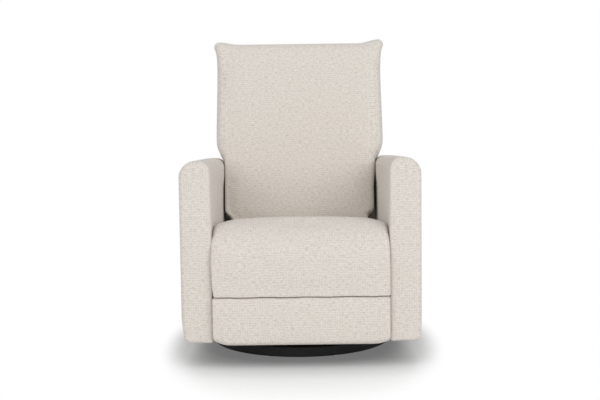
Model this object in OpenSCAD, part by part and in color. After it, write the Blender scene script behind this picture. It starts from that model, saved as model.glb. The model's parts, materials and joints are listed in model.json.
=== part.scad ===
// Upholstered glider nursery chair: ring base, ball-bearing swivel, four-link glider,
// reclining back and fold-out footrest.
// The floor is z = 0, the swivel axis is x = y = 0 and the front faces -Y.
// Left and right are as seen from the front.

/* [Arms] */
// Clear width between the arms
inner_w = 560; // [530:5:600]
// Width of each arm
arm_w = 102; // [96:1:115]
// Height of the arm tops at the front
arm_h = 663; // [650:1:672]
// Drop of the arm tops from front to rear
arm_drop = 22; // [16:1:30]
// Distance from the swivel axis to the arm fronts
arm_front = 410; // [402:1:418]
// Distance from the swivel axis to the arm rear ends
arm_rear = 320; // [312:1:326]
// Height of the arm bottoms above the floor
arm_bottom = 78; // [70:1:86]
// Radius of the arm tops' long edges
arm_round = 40; // [30:1:46]

/* [Seat] */
// Distance from the swivel axis to the seat front
seat_front = 445; // [436:1:452]
// Height of the seat at its front knee
seat_h = 465; // [450:1:475]
// Height of the seat at the back
seat_rear_h = 444; // [436:1:450]
// Radius of the seat's front knee
knee_r = 100; // [80:1:115]
// Height of the springs' tops
deck_h = 300; // [298:1:303]
// Height of the seam between seat and footrest
seam_h = 226; // [222:1:228]
// Width of the seat front where it swells before the arms
seat_lip_w = 572; // [562:1:580]

/* [Back] */
// Lean of the back from upright, in degrees
back_lean = 13; // [10:0.5:15]
// Distance from the swivel axis to the recline hinge
hinge_y = 170; // [166:1:174]
// Height of the recline hinge
hinge_h = 330; // [328:1:336]
// Length of the back above the hinge
back_len = 752; // [700:1:800]
// Rise of the corner ears above the top edge
ear_rise = 15; // [5:1:25]
// Width of the back above the arms
back_w = 620; // [604:2:630]
// Reach of each ear beyond the side of the back
ear_out = 12; // [4:1:20]
// Gap between the back and each arm
back_gap = 19; // [17:1:24]
// Height of the back's shoulders above the arms' round edges
shoulder_rise = 27; // [25:1:70]
// Depth of the padding in front of the hinge
back_front = 109; // [104:1:112]
// Radius of the back's round lower end
barrel_r = 128; // [120:1:130]
// Depth of the back behind the hinge at the top
back_rear = 116; // [100:1:125]
// Thickness of the wooden back frame
back_frame_t = 24; // [18:1:28]

/* [Footrest] */
// Thickness of the padded footrest
footrest_t = 60; // [54:1:66]
// Height of the footrest's lower edge above the floor
footrest_bottom = 72; // [68:1:84]
// Thickness of the footrest's board
board_t = 12; // [9:1:15]
// Length of the folding links
leg_len = 150; // [142:1:154]
// Distance between the two links' pivots
leg_pair = 72; // [70:1:80]
// Distance from the swivel axis to the rear link's pivot
leg_y = 255; // [252:1:262]
// Height of the rear link's pivot
leg_h = 207; // [203:1:209]
// Width of the folding links
leg_w = 22; // [18:1:23]
// Thickness of the folding links
leg_t = 5; // [4:0.5:5]

/* [Glider] */
// Distance from the swivel axis to each glide pivot
glide_y = 110; // [100:1:114]
// Length of the hanging links between pivots
link_len = 112; // [104:1:116]
// Height of the upper pivots
link_top = 190; // [186:1:191]
// Width of the hanging links
link_w = 24; // [22:1:28]
// Thickness of the hanging links
link_t = 6; // [4:0.5:7]
// Space between a carriage bracket and a side plate
carriage_gap = 45; // [44:1:50]
// Radius of the glide pins
pin_r = 6; // [5:0.5:6.5]

/* [Base] */
// Outer radius of the base ring
ring_r = 312; // [300:1:330]
// Width of the ring's section
ring_w = 46; // [40:1:56]
// Height of the ring's section
ring_h = 37; // [30:1:39]
// Wall of the ring's hollow section
ring_wall = 2.5; // [2:0.5:4]
// Height of the floor glides
foot_h = 4; // [3:0.5:6]
// Number of floor glides
foot_n = 8; // [6:1:12]
// Width of the base's cross bars
bar_w = 40; // [32:1:44]
// Thickness of the base's cross bars
bar_t = 8; // [6:1:9]
// Side of the square bearing plates
race_w = 190; // [180:2:200]
// Thickness of the bearing plates
race_t = 4; // [3:0.5:5]
// Radius of the circle of balls
race_r = 66; // [60:1:72]
// Radius of a bearing ball
ball_r = 4; // [3.5:0.5:4.5]
// Number of bearing balls
ball_n = 24; // [16:1:28]

/* [Frame] */
// Thickness of the mechanism's side plates
plate_t = 4; // [3:0.5:5]
// Thickness of the wooden side rails
rail_t = 26; // [24:1:28]
// Height of the wooden rails
rail_h = 60; // [50:1:62]
// Thickness of the wooden front and rear rails
cross_t = 22; // [18:1:24]
// Padding on the inner faces of the arms
arm_pad = 12.5; // [11:0.5:14]
// Diameter of the springs' wire
wire = 4; // [3:0.5:5]

/* [Hidden] */
$fn = 48;

// Clearances
run = 0.05;          // a pin in its hole
soft = 0.5;          // a cushion beside its neighbour
washer_t = 2;        // the washer between two folding links
seam_gap = 4;        // between the seat's lower edge and the footrest

// Colours
cloth = [0.90, 0.87, 0.81];
black = [0.08, 0.08, 0.08];
steel = [0.62, 0.62, 0.64];
wood = [0.80, 0.66, 0.46];
nylon = [0.88, 0.88, 0.84];

// Heights of the base and the bearing, from the floor up
ring_top = foot_h + ring_h;
lower_race_z = ring_top + bar_t;
lower_race_top = lower_race_z + race_t;
groove = 1;
ball_z = lower_race_top - groove + ball_r + run;
upper_race_z = 2 * ball_z - lower_race_top;
carriage_z = upper_race_z + race_t;
carriage_bar_t = 6;
flange_z = carriage_z + carriage_bar_t;
bar_y = race_w / 2 - 25;
race_screw_x = race_w / 2 - 13;
bolt_r = 8;
screw_r = 3;
head_t = 3;
cage_t = 2;
ball_play = 0.15;

// Layers of the mechanism, as distances from the middle
inner = inner_w / 2;
frame_in = inner + arm_pad;
plate_out = frame_in - rail_t;
plate_in = plate_out - plate_t;
carriage_out = plate_in - carriage_gap;
bracket_t = 5;
bracket_foot = 47;
bracket_window_r = 28;
plate_screw_x = race_w / 2 - 35;
bracket_screw_x = carriage_out - 25;
link_in = carriage_out + 5;
link_out = link_in + link_t;
leg_gap = 3;
leg_out = plate_in - leg_gap;
leg_in = leg_out - leg_t;
reach_out = leg_in - washer_t;
reach_in = reach_out - leg_t;
web_out = reach_in - washer_t;
web_in = web_out - leg_t;

// Wooden rails
rail_top = deck_h - wire;
rail_z = rail_top - rail_h;
front_rail_y = -seat_front + footrest_t + 1;
panel_top = 270;
panel_skin = 15;
rear_rail_y = arm_rear - panel_skin - 2 - cross_t;
rear_rail_z = 130;
rear_rail_h = 65;
deck_rail_y = 18;
deck_rail_w = 20;
side_rail_rear = 150;
tube_r = 11;
tube_wall = 2;
front_tube = [-185, 262];
rear_tube = [20, 240];
bolt_ys = [-300, -60, 120];
bolt_z = rail_z + rail_h / 2;
frame_bolt_r = 4;
frame_bolt_len = 70;

// Springs
spring_pitch = 25;
spring_run = 19;
seat_spring_n = 5;
seat_spring_gap = 95;
spring_front = front_rail_y + cross_t / 2;
spring_rear = deck_rail_y + deck_rail_w / 2;
seat_runs = round((spring_rear - spring_front) / spring_pitch);
clip_t = 1.5;

// Arms
arm_len = arm_front + arm_rear;
arm_slope = atan(arm_drop / arm_len);
frame_front = -arm_front + 24;
frame_rear = arm_rear - 20;
frame_top = arm_h - arm_drop - 31;
frame_out = inner + arm_w - 10.5;
frame_post = 45;

// Back, measured from the hinge: along the back, and across its depth
back_top_v = back_len + ear_rise;
low_half = plate_in - 14;
mid_half = inner - back_gap;
top_half = back_w / 2;
step_v = 22;
arm_side_h = arm_h - 0.8 * arm_drop - 0.45 * arm_round;
shoulder_v = arm_side_h + shoulder_rise - hinge_h;
neck_v = shoulder_v - 24;
hinge_t = 6;
hinge_out = low_half + 2 + hinge_t;
hinge_in = low_half + 2;
hinge_r = 7;
eye_r = 18;
strap_len = 200;
strap_screw_vs = [70, 130, 180];
strap_screw_in = hinge_in - 35;
back_rail_v = 10;
back_rail_h = 50;
back_top_rail = back_len - 17;
window_half = low_half - 43;
wing = [top_half - 22, shoulder_v + 30];
back_spring_n = 4;
back_spring_gap = 80;
back_runs = round((back_top_rail - 2 * back_rail_h - back_rail_v) / 30);

// Footrest and its folding links; angles are from straight ahead, upwards positive
function aim(a) = [-cos(a), sin(a)];
fold_angle = -140;
pair_angle = 10;
rear_pivot = [-leg_y, leg_h];
front_pivot = rear_pivot + leg_pair * aim(pair_angle);
rear_joint = rear_pivot + leg_len * aim(fold_angle);
front_joint = rear_joint + leg_pair * aim(pair_angle);
footrest_top = seam_h - seam_gap;
footrest_rear = -seat_front + footrest_t;
footrest_pivot = [footrest_rear + 23, footrest_top - 26];
footrest_half = inner - 1;
arm_dir = (footrest_pivot - rear_joint) / norm(footrest_pivot - rear_joint);
lug_foot = rear_joint + arm_dir * ((front_joint - rear_joint) * arm_dir);
board_low = [-footrest_half + 17, footrest_bottom + 10];
board_high = [footrest_half - 17, footrest_top - 10];
footrest_screw_r = 2.5;
footrest_screw_x = web_out - 13;
footrest_screw_zs = [footrest_pivot[1] - 75, footrest_pivot[1] - 15];
footrest_flange_t = 3;
torque_r = 8;
torque_at = rear_pivot + 60 * aim(fold_angle);
leg_pin_r = 5;

// Flat shape drawn in y and z, given a width about the middle plane
module across(width) {
  rotate([90, 0, 90]) linear_extrude(width, center = true) children();
}

// The same between two distances on the right-hand side
module layer(x0, x1) {
  translate([(x0 + x1) / 2, 0, 0]) across(x1 - x0) children();
}

// Flat shape drawn in x and z, given a depth from y0 to y1
module along(y0, y1) {
  translate([0, y1, 0]) rotate([90, 0, 0]) linear_extrude(y1 - y0) children();
}

// A piece and its mirror image on the left
module both_sides() {
  children();
  mirror([1, 0, 0]) children();
}

module left() {
  mirror([1, 0, 0]) children();
}

// Round rod along x at a point given in y and z
module rod(at, r, x0, x1) {
  translate([x0, at[0], at[1]]) rotate([0, 90, 0]) cylinder(h = x1 - x0, r = r);
}

// Screw standing with its head's seat at z = 0
module screw(grip) {
  translate([0, 0, -grip]) cylinder(h = grip, r = screw_r);
  cylinder(h = head_t, r = 2 * screw_r);
}

// Rectangle between two corners
module square_between(a, b) {
  translate(a) square(b - a);
}

// Rectangle from corner a to corner b with chosen corner radii:
// lower left, lower right, upper right, upper left
module round_box(a, b, r = [0, 0, 0, 0]) {
  corners = [a, [b[0], a[1]], b, [a[0], b[1]]];
  turn = [[1, 1], [-1, 1], [-1, -1], [1, -1]];
  polygon([for (i = [0:3]) each round_ends(corners[i], turn[i] * r[i], i % 2 == 0)]);
  for (i = [0:3]) if (r[i] > 0) intersection() {
    translate(corners[i] + turn[i] * r[i]) circle(r[i]);
    translate(corners[i] + turn[i] * r[i] / 2) square(r[i], center = true);
  }
}

// Where a rounded corner leaves its two sides, in the order of the outline
function round_ends(corner, inset, upright_first) =
  inset[0] == 0 ? [corner]
  : upright_first ? [corner + [0, inset[1]], corner + [inset[0], 0]]
  : [corner + [inset[0], 0], corner + [0, inset[1]]];

// Flat link with round ends between two points
module link_shape(a, b, w) {
  d = b - a;
  translate(a) rotate(atan2(d[1], d[0])) translate([0, -w / 2]) square([norm(d), w]);
  translate(a) circle(w / 2);
  translate(b) circle(w / 2);
}

// Serpentine spring wire: runs across x, stepping along y from the origin
module serpentine(runs, pitch) {
  for (i = [0:runs]) translate([-spring_run / 2, i * pitch - wire / 2]) square([spring_run, wire]);
  for (i = [0:runs - 1]) {
    side = i % 2 == 0 ? 1 : -1;
    translate([side * spring_run / 2, (i + 0.5) * pitch]) difference() {
      circle(pitch / 2 + wire / 2);
      circle(pitch / 2 - wire / 2);
      translate([side > 0 ? -pitch : 0, -pitch]) square([pitch, 2 * pitch]);
    }
  }
}

// ---- Base ----

module base_ring() {
  soften = 9;
  hollow = soften - ring_wall;
  color(black) difference() {
    rotate_extrude($fn = 128) difference() {
      round_box([ring_r - ring_w, foot_h], [ring_r, ring_top], [3, 3, soften, soften]);
      round_box([ring_r - ring_w + ring_wall, foot_h + ring_wall], [ring_r - ring_wall, ring_top - ring_wall],
        [0, 0, hollow, hollow]);
    }
    screw_places() cylinder(h = ring_h, r = screw_r, center = true);
  }
}

module screw_places() {
  x = sqrt(pow(ring_r - ring_w / 2, 2) - pow(bar_y, 2));
  for (sx = [-1, 1], sy = [-1, 1]) translate([sx * x, sy * bar_y, ring_top]) children();
}

module cross_bars() {
  half = sqrt(pow(ring_r - ring_w / 2, 2) - pow(bar_y, 2)) + 14;
  color(black) difference() {
    for (s = [-1, 1]) translate([-half, s * bar_y - bar_w / 2, ring_top]) cube([2 * half, bar_w, bar_t]);
    screw_places() cylinder(h = 4 * bar_t, r = screw_r, center = true);
    race_places() cylinder(h = 4 * bar_t, r = screw_r, center = true);
  }
}

module floor_glides() {
  color(nylon) for (i = [0:foot_n - 1]) rotate(360 / foot_n * (i + 0.5))
    translate([ring_r - ring_w / 2, 0, 0]) cylinder(h = foot_h, r = 13);
}

module race_places() {
  for (sx = [-1, 1], sy = [-1, 1]) translate([sx * race_screw_x, sy * bar_y, lower_race_z]) children();
}

// Square bearing plate with its ball groove; z0 is its lower face
module race(z0, hole_r) {
  difference() {
    translate([-race_w / 2, -race_w / 2, z0]) cube([race_w, race_w, race_t]);
    translate([0, 0, z0 - 1]) cylinder(h = race_t + 2, r = hole_r);
    rotate_extrude($fn = 96) translate([race_r, ball_z]) circle(ball_r + run);
    children();
  }
}

module lower_race() {
  color(steel) race(lower_race_z, bolt_r + run)
    race_places() cylinder(h = 4 * race_t, r = screw_r, center = true);
}

module ring_screws() {
  color(steel) screw_places() translate([0, 0, bar_t]) screw(ring_h / 2 + bar_t);
}

module race_screws() {
  color(steel) race_places() translate([0, 0, race_t]) screw(bar_t + race_t);
}

// ---- Ball ring ----

module ball_places() {
  for (i = [0:ball_n - 1]) rotate(360 / ball_n * i) translate([race_r, 0, ball_z]) children();
}

module ball_cage() {
  rim = 2 * ball_r + 2;
  color(nylon) difference() {
    translate([0, 0, ball_z - cage_t / 2]) cylinder(h = cage_t, r = race_r + rim, $fn = 96);
    translate([0, 0, ball_z - cage_t]) cylinder(h = 2 * cage_t, r = race_r - rim, $fn = 96);
    ball_places() cylinder(h = 2 * cage_t, r = ball_r + ball_play, center = true, $fn = 24);
  }
}

module bearing_balls() {
  color(steel) ball_places() sphere(ball_r, $fn = 24);
}

// ---- Carriage ----

// Four screws into the bearing plate and four through the brackets, each at the seat of its head
module carriage_screw_places(x, z) {
  for (sx = [-1, 1], sy = [-1, 1]) translate([sx * x, sy * bar_y, z]) children();
}

module carriage_screw_holes() {
  for (x = [plate_screw_x, bracket_screw_x])
    carriage_screw_places(x, flange_z) cylinder(h = 60, r = screw_r, center = true);
}

module upper_race() {
  color(steel) race(upper_race_z, bolt_r)
    carriage_screw_holes();
}

module centre_bolt() {
  below = 19;
  color(steel) {
    translate([0, 0, lower_race_z - below]) cylinder(h = carriage_z - lower_race_z + below, r = bolt_r);
    translate([0, 0, carriage_z]) cylinder(h = 10, r = 13.5, $fn = 6);
  }
}

module centre_washer() {
  color(steel) translate([0, 0, lower_race_z - run - 2]) difference() {
    cylinder(h = 2, r = 16);
    translate([0, 0, -1]) cylinder(h = 4, r = bolt_r);
  }
}

module centre_nut() {
  color(steel) translate([0, 0, lower_race_z - run - 12]) difference() {
    cylinder(h = 10, r = 13.5, $fn = 6);
    translate([0, 0, -1]) cylinder(h = 12, r = bolt_r);
  }
}

module carriage_bars() {
  color(black) difference() {
    for (s = [-1, 1]) translate([-carriage_out, s * bar_y - bar_w / 2, carriage_z])
      cube([2 * carriage_out, bar_w, carriage_bar_t]);
    carriage_screw_holes();
  }
}

module carriage_bracket() {
  foot = bar_y + bar_w / 2;
  wide = glide_y + link_w / 2;
  shoulder_z = flange_z + 40;
  window = [wide / 3, (flange_z + link_top) / 2 + 10];
  color(black) difference() {
    union() {
      layer(carriage_out - bracket_t, carriage_out) {
        polygon([[-foot, flange_z], [foot, flange_z], [wide, shoulder_z], [wide, link_top],
          [-wide, link_top], [-wide, shoulder_z]]);
        for (s = [-1, 1]) translate([s * glide_y, link_top]) circle(link_w / 2);
      }
      translate([carriage_out - bracket_foot, -foot, flange_z]) cube([bracket_foot, 2 * foot, bracket_t]);
    }
    for (s = [-1, 1]) {
      rod([s * glide_y, link_top], pin_r, carriage_out - 20, carriage_out + 20);
      rod([s * window[0], window[1]], bracket_window_r, carriage_out - 20, carriage_out + 20);
    }
    carriage_screw_holes();
  }
}

module carriage_screws() {
  plate_grip = flange_z - upper_race_z - groove / 2;
  bracket_grip = carriage_bar_t + bracket_t;
  color(steel) {
    carriage_screw_places(plate_screw_x, flange_z) screw(plate_grip);
    carriage_screw_places(bracket_screw_x, flange_z + bracket_t) screw(bracket_grip);
  }
}

module upper_glide_pins() {
  color(steel) both_sides() for (s = [-1, 1]) {
    at = [s * glide_y, link_top];
    rod(at, pin_r, carriage_out - bracket_t - 4, link_out + 2.5);
    rod(at, pin_r + 4, carriage_out - bracket_t - 4, carriage_out - bracket_t);
    rod(at, pin_r + 4, carriage_out, link_in);
    rod(at, pin_r + 3, link_out + run, link_out + 2.5);
  }
}

// ---- Hanging links ----

module hanging_link(s) {
  top = [s * glide_y, link_top];
  low = [s * glide_y, link_top - link_len];
  color(black) difference() {
    layer(link_in, link_out) link_shape(low, top, link_w);
    for (p = [top, low]) rod(p, pin_r + 2.5, link_in - 1, link_out + 1);
  }
}

module bushings(s) {
  color(nylon) both_sides() for (z = [link_top, link_top - link_len]) difference() {
    rod([s * glide_y, z], pin_r + 2.5, link_in, link_out);
    rod([s * glide_y, z], pin_r + run, link_in - 1, link_out + 1);
  }
}

module front_link_left() {
  left() hanging_link(-1);
}

module front_link_right() {
  hanging_link(-1);
}

module front_link_bushings() {
  bushings(-1);
}

module rear_link_left() {
  left() hanging_link(1);
}

module rear_link_right() {
  hanging_link(1);
}

module rear_link_bushings() {
  bushings(1);
}

// ---- Chair: mechanism ----

module side_plate() {
  low = link_top - link_len;
  rim = 14;
  cut = 6;
  hinge = [hinge_y, hinge_h];
  color(black) difference() {
    layer(plate_in, plate_out) polygon([
      front_pivot + [cut - rim, -rim], front_pivot + [-rim, cut - rim], [front_pivot[0] - rim, rail_top],
      [hinge_y - eye_r, rail_top], hinge + [-eye_r, cut], hinge + [-cut, eye_r], hinge + [cut, eye_r],
      hinge + [eye_r, cut], hinge + [eye_r, -eye_r], [glide_y + rim, low - rim],
      [-glide_y - rim, low - rim], [-glide_y - 2 * rim, low + cut],
      rear_pivot + [cut, -rim], rear_pivot + [-cut, -rim]
    ]);
    rod(hinge, hinge_r, plate_in - 1, plate_out + 1);
    for (s = [-1, 1]) rod([s * glide_y, low], pin_r, plate_in - 1, plate_out + 1);
    for (p = [front_pivot, rear_pivot]) rod(p, leg_pin_r, plate_in - 1, plate_out + 1);
    for (y = bolt_ys) rod([y, bolt_z], frame_bolt_r, plate_in - 1, plate_out + 1);
  }
}

module side_plate_left() {
  left() side_plate();
}

module side_plate_right() {
  side_plate();
}

module lower_glide_pins() {
  color(steel) both_sides() for (s = [-1, 1]) {
    at = [s * glide_y, link_top - link_len];
    rod(at, pin_r, link_in - 2.6, plate_out);
    rod(at, pin_r + 3, link_in - 2.6, link_in - run);
    rod(at, pin_r + 4, link_out + run, plate_in);
    rod(at, pin_r + 4, plate_out, plate_out + 3);
  }
}

module cross_tube(at) {
  color(black) difference() {
    rod(at, tube_r, -plate_in, plate_in);
    rod(at, tube_r - tube_wall, -plate_in - 1, plate_in + 1);
  }
}

module front_cross_tube() {
  cross_tube(front_tube);
}

module rear_cross_tube() {
  cross_tube(rear_tube);
}

module recline_pins() {
  color(steel) both_sides() {
    rod([hinge_y, hinge_h], hinge_r, hinge_in - 1, plate_out);
    rod([hinge_y, hinge_h], hinge_r + 4, hinge_out + run, plate_in);
    rod([hinge_y, hinge_h], hinge_r + 4, plate_out, plate_out + 4);
  }
}

module legrest_pins() {
  color(steel) both_sides() for (p = [front_pivot, rear_pivot]) {
    rod(p, leg_pin_r, leg_in - washer_t + 0.2, plate_out);
    rod(p, leg_pin_r + 3, leg_in - washer_t + 0.2, leg_in - run);
    rod(p, leg_pin_r + 4, leg_out + run, plate_in);
  }
}

// ---- Chair: wooden frame and springs ----

module side_rail() {
  color(wood) difference() {
    translate([plate_out, front_rail_y + cross_t, rail_z])
      cube([rail_t, side_rail_rear - front_rail_y - cross_t, rail_h]);
    for (y = bolt_ys) rod([y, bolt_z], frame_bolt_r, plate_out - 1, frame_in + 1);
  }
}

module side_rail_left() {
  left() side_rail();
}

module side_rail_right() {
  side_rail();
}

module front_rail() {
  color(wood) translate([-frame_in, front_rail_y, rail_z]) cube([2 * frame_in, cross_t, rail_h]);
}

module rear_rail() {
  color(wood) translate([-frame_in, rear_rail_y, rear_rail_z]) cube([2 * frame_in, cross_t, rear_rail_h]);
}

module deck_rail() {
  h = 34;
  color(wood) translate([-plate_in, deck_rail_y, rail_top - h]) cube([2 * plate_in, deck_rail_w, h]);
}

function seat_spring_x(i) = (i - (seat_spring_n - 1) / 2) * seat_spring_gap;

module seat_springs() {
  color(steel) for (i = [0:seat_spring_n - 1])
    translate([seat_spring_x(i), spring_front, rail_top]) linear_extrude(wire)
      serpentine(seat_runs, (spring_rear - spring_front) / seat_runs);
}

module spring_clips() {
  color(nylon) for (i = [0:seat_spring_n - 1], y = [spring_front, spring_rear])
    translate([seat_spring_x(i), y, rail_top]) difference() {
      translate([-7, -8, 0]) cube([14, 16, wire + clip_t]);
      translate([-8, -wire / 2, -1]) cube([16, wire, wire + 1]);
    }
}

module frame_bolts() {
  color(steel) both_sides() for (y = bolt_ys) {
    rod([y, bolt_z], frame_bolt_r, plate_in, plate_in + frame_bolt_len);
    rod([y, bolt_z], frame_bolt_r + 3, plate_in - 3, plate_in);
  }
}

module arm_frame() {
  color(wood) difference() {
    layer(frame_in, frame_out) difference() {
      translate([frame_front, arm_bottom + 1]) square([frame_rear - frame_front, frame_top - arm_bottom - 1]);
      translate([frame_front + frame_post, arm_bottom + 41])
        square([frame_rear - frame_front - 2 * frame_post, rail_z - arm_bottom - 41]);
      translate([frame_front + frame_post, rail_top])
        square([frame_rear - frame_front - 2 * frame_post, frame_top - 35 - rail_top]);
    }
    for (y = bolt_ys) rod([y, bolt_z], frame_bolt_r, frame_in - 1, plate_in + frame_bolt_len);
  }
}

module arm_frame_left() {
  left() arm_frame();
}

module arm_frame_right() {
  arm_frame();
}

// ---- Chair: soft parts ----

module arm() {
  deep = 800;
  color(cloth) difference() {
    intersection() {
      translate([0, -arm_front, arm_h]) rotate([-arm_slope, 0, 0]) along(-50, arm_len + 50)
        round_box([inner, -deep], [inner + arm_w, 0], [0, 0, arm_round, arm_round]);
      layer(inner, inner + arm_w) difference() {
        round_box([-arm_front, arm_bottom], [arm_rear, arm_h + 1], [12, 12, 60, 0]);
      }
      linear_extrude(2 * deep) round_box([inner, -arm_front], [inner + arm_w, arm_rear], [14, 14, 14, 14]);
    }
    translate([frame_in, frame_front, 0]) cube([frame_out - frame_in, frame_rear - frame_front, frame_top]);
    translate([inner - 1, front_rail_y, 0]) cube([arm_pad + 2, rear_rail_y + cross_t - front_rail_y, rail_top]);
  }
}

module arm_left() {
  left() arm();
}

module arm_right() {
  arm();
}

// Side view of the seat: waterfall front, and a rear face that clears the turning back
module seat_side() {
  bottom = rail_top + wire + clip_t + 0.3;
  swing = norm([back_front + 3, 3]) + 8;
  difference() {
    union() {
      round_box([-seat_front, seam_h], [footrest_rear, bottom + 1], [14, 10, 0, 0]);
      round_box([-seat_front, bottom], [hinge_y, seat_h], [0, 0, 0, knee_r]);
    }
    translate([hinge_y, hinge_h]) circle(swing);
    translate([hinge_y, hinge_h]) rotate(-back_lean) translate([-back_front - 5, -200]) square([400, 600]);
  }
}

// Crowned block with round long edges that the seat is cut to
module seat_crown() {
  sag = 26;
  edge_drop = 14;
  edge_r = 45;
  half = inner;
  r = half * half / (2 * sag);
  fall = atan((seat_h - seat_rear_h) / (seat_front + 60));
  translate([0, -seat_front, seat_h]) rotate([-fall, 0, 0]) intersection() {
    translate([0, -50, -r]) rotate([-90, 0, 0]) cylinder(h = 800, r = r, $fn = 180);
    along(-40, 740) round_box([-seat_lip_w / 2, -seat_h], [seat_lip_w / 2, -edge_drop], [0, 0, edge_r, edge_r]);
  }
}

module seat_cushion() {
  color(cloth) intersection() {
    union() {
      across(inner_w - 2 * soft) seat_side();
      intersection() {
        across(seat_lip_w) seat_side();
        translate([-inner_w, -seat_front - 10, 0]) cube([2 * inner_w, seat_front - arm_front + 9, seat_h]);
      }
    }
    seat_crown();
  }
}

module rear_panel() {
  color(cloth) translate([0, rear_rail_y + cross_t, 0]) along(0, panel_skin)
    round_box([-inner + soft, arm_bottom], [inner - soft, panel_top], [8, 8, 8, 8]);
}

// ---- Back ----

// Places a piece given from the hinge, with y across the depth and z along the back
module on_back() {
  translate([0, hinge_y, hinge_h]) rotate([-back_lean, 0, 0]) children();
}

// Front outline of the back
module back_outline() {
  tip_r = 20;
  tip = [top_half + ear_out - tip_r, back_top_v - tip_r];
  for (s = [0, 1]) mirror([s, 0]) {
    polygon([[0, -barrel_r], [low_half, -barrel_r], [low_half, step_v], [mid_half, step_v],
      [mid_half, neck_v], [mid_half + 4, shoulder_v - 14], [min(inner, top_half - 12), shoulder_v],
      [min(inner + 16, top_half - 4), shoulder_v + 16], [top_half, shoulder_v + 45], [top_half, back_len - 70],
      [top_half + 3, back_len - 40], [tip[0] + tip_r, tip[1]], tip, [tip[0], back_top_v],
      [top_half - 25, back_len + 4], [top_half - 70, back_len], [0, back_len]]);
    translate(tip) circle(tip_r);
  }
}

module back_cushion() {
  color(cloth) on_back() intersection() {
    across(2 * inner + 200) round_box([-back_front, 2], [0, back_top_v], [30, 0, 0, 60]);
    along(-back_front - 1, 1) back_outline();
  }
}

// Side view of the back behind its frame: round lower end, straight rear face, round top
module cover_side() {
  crown = 55;
  centre = [back_rear - crown, back_top_v - crown];
  from_hinge = centre - [barrel_r, 0];
  reach = norm(from_hinge);
  rise = atan2(from_hinge[1], from_hinge[0]) - asin(crown / reach);
  meet = [barrel_r, 0] + sqrt(reach * reach - crown * crown) * [cos(rise), sin(rise)];
  difference() {
    circle(barrel_r, $fn = 96);
    translate([-2 * barrel_r, -2 * barrel_r]) square([2 * barrel_r, 4 * barrel_r]);
    translate([-2 * barrel_r, 0]) square(4 * barrel_r);
  }
  polygon([[0, -1], [barrel_r - 1, -1], [barrel_r, 0], meet, centre, [centre[0], back_top_v], [0, back_top_v]]);
  translate(centre) circle(crown);
}

module back_cover() {
  color(cloth) on_back() difference() {
    intersection() {
      across(2 * inner + 200) cover_side();
      along(-1, barrel_r + 1) back_outline();
    }
    along(-1, back_frame_t) back_pocket();
  }
}

module back_pocket() {
  square_between([-hinge_out, -eye_r], [hinge_out, wing[1] + 2]);
  back_wings();
}

// The frame behind the wide part of the back
module back_wings() {
  square_between([-wing[0], wing[1]], [wing[0], back_top_rail]);
}

module back_frame() {
  color(wood) on_back() difference() {
    along(0, back_frame_t) difference() {
      union() {
        translate([-hinge_in, back_rail_v]) square([2 * hinge_in, back_top_rail - back_rail_v]);
        back_wings();
      }
      translate([-window_half, back_rail_v + back_rail_h])
        square([2 * window_half, back_top_rail - back_rail_v - 2 * back_rail_h]);
    }
    strap_holes();
  }
}

module strap_holes() {
  both_sides() for (v = strap_screw_vs)
    rod([back_frame_t / 2, v], frame_bolt_r, strap_screw_in, hinge_out + 1);
}

module back_springs() {
  low = back_rail_v + back_rail_h + wire / 2;
  high = back_top_rail - back_rail_h - wire / 2;
  color(steel) on_back() for (i = [0:back_spring_n - 1])
    translate([(i - (back_spring_n - 1) / 2) * back_spring_gap, back_frame_t / 2, low])
      rotate([90, 0, 0]) linear_extrude(wire, center = true) serpentine(back_runs, (high - low) / back_runs);
}

module hinge_bracket() {
  color(black) on_back() difference() {
    layer(hinge_in, hinge_out) {
      circle(eye_r);
      square([back_frame_t, strap_len]);
    }
    rod([0, 0], hinge_r + run, hinge_in - 1, hinge_out + 1);
    strap_holes();
  }
}

module hinge_bracket_left() {
  left() hinge_bracket();
}

module hinge_bracket_right() {
  hinge_bracket();
}

module bracket_screws() {
  color(steel) on_back() both_sides() for (v = strap_screw_vs)
    rod([back_frame_t / 2, v], frame_bolt_r, strap_screw_in, hinge_out);
}

// ---- Footrest ----

module folding_link(a, b) {
  layer(leg_in, leg_out) difference() {
    link_shape(a, b, leg_w);
    for (p = [a, b]) translate(p) circle(leg_pin_r + run);
  }
}

module legrest_rear_links() {
  color(black) both_sides() folding_link(rear_pivot, rear_joint);
}

module torque_tube() {
  color(black) difference() {
    rod(torque_at, torque_r, -leg_in, leg_in);
    rod(torque_at, torque_r - tube_wall, -leg_in - 1, leg_in + 1);
  }
}

module legrest_front_links() {
  color(black) both_sides() folding_link(front_pivot, front_joint);
}

// Flat bar with cut corners between two points
module cut_bar(a, b, w) {
  along_bar = (b - a) / norm(b - a) * w / 2;
  aside = [-along_bar[1], along_bar[0]];
  polygon([a - aside, a - aside / 2 - along_bar, a + aside / 2 - along_bar, a + aside,
    b + aside, b + aside / 2 + along_bar, b - aside / 2 + along_bar, b - aside]);
}

module footrest_arms() {
  color(black) both_sides() layer(reach_in, reach_out) difference() {
    union() {
      cut_bar(rear_joint, footrest_pivot, leg_w);
      cut_bar(lug_foot, front_joint, leg_w - 2);
    }
    for (p = [rear_joint, front_joint, footrest_pivot]) translate(p) circle(leg_pin_r);
  }
}

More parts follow.
